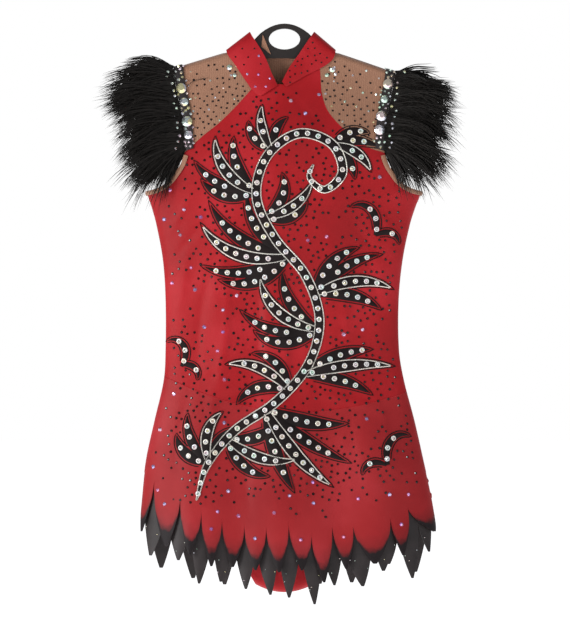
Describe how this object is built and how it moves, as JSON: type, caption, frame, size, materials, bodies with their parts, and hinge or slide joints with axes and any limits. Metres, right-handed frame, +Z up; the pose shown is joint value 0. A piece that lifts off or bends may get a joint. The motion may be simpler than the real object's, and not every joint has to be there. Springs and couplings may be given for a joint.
{
  "type": "rhythmic gymnastics leotard on a moulded hanger",
  "caption": "Red sleeveless rhythmic gymnastics leotard with mesh yokes, feathered armholes, a split collar and a petal-hem skirt, on a black hanger.",
  "frame": {"origin": "top of the hanger's grip hole, where a peg carries the part", "axes": "+Z up, +X towards the right of the front view, -Y out of the front"},
  "size_m": [0.4396, 0.1084, 0.6629],
  "materials": {
    "red_cloth": "satin",
    "nude_mesh": "matte",
    "black_cloth": "matte",
    "feather": "matte",
    "crystal": "gloss",
    "silver_cord": "satin",
    "hanger_plastic": "satin"
  },
  "bodies": {
    "root": {"bodice_front": "red_cloth", "bodice_back": "red_cloth", "yoke_front_left": "nude_mesh", "yoke_front_right": "nude_mesh", "yoke_back": "nude_mesh", "collar_left": "red_cloth", "collar_right": "red_cloth", "collar_end": "nude_mesh", "armhole_band_left": "black_cloth", "armhole_band_right": "black_cloth", "underarm_binding_left": "nude_mesh", "underarm_binding_right": "nude_mesh", "feather_left": "feather", "feather_right": "feather", "skirt_front": "red_cloth", "skirt_back": "red_cloth", "skirt_points_front": "black_cloth", "skirt_points_back": "black_cloth", "brief_front": "red_cloth", "brief_back": "red_cloth", "hanger": "hanger_plastic"}
  },
  "joints": []
}
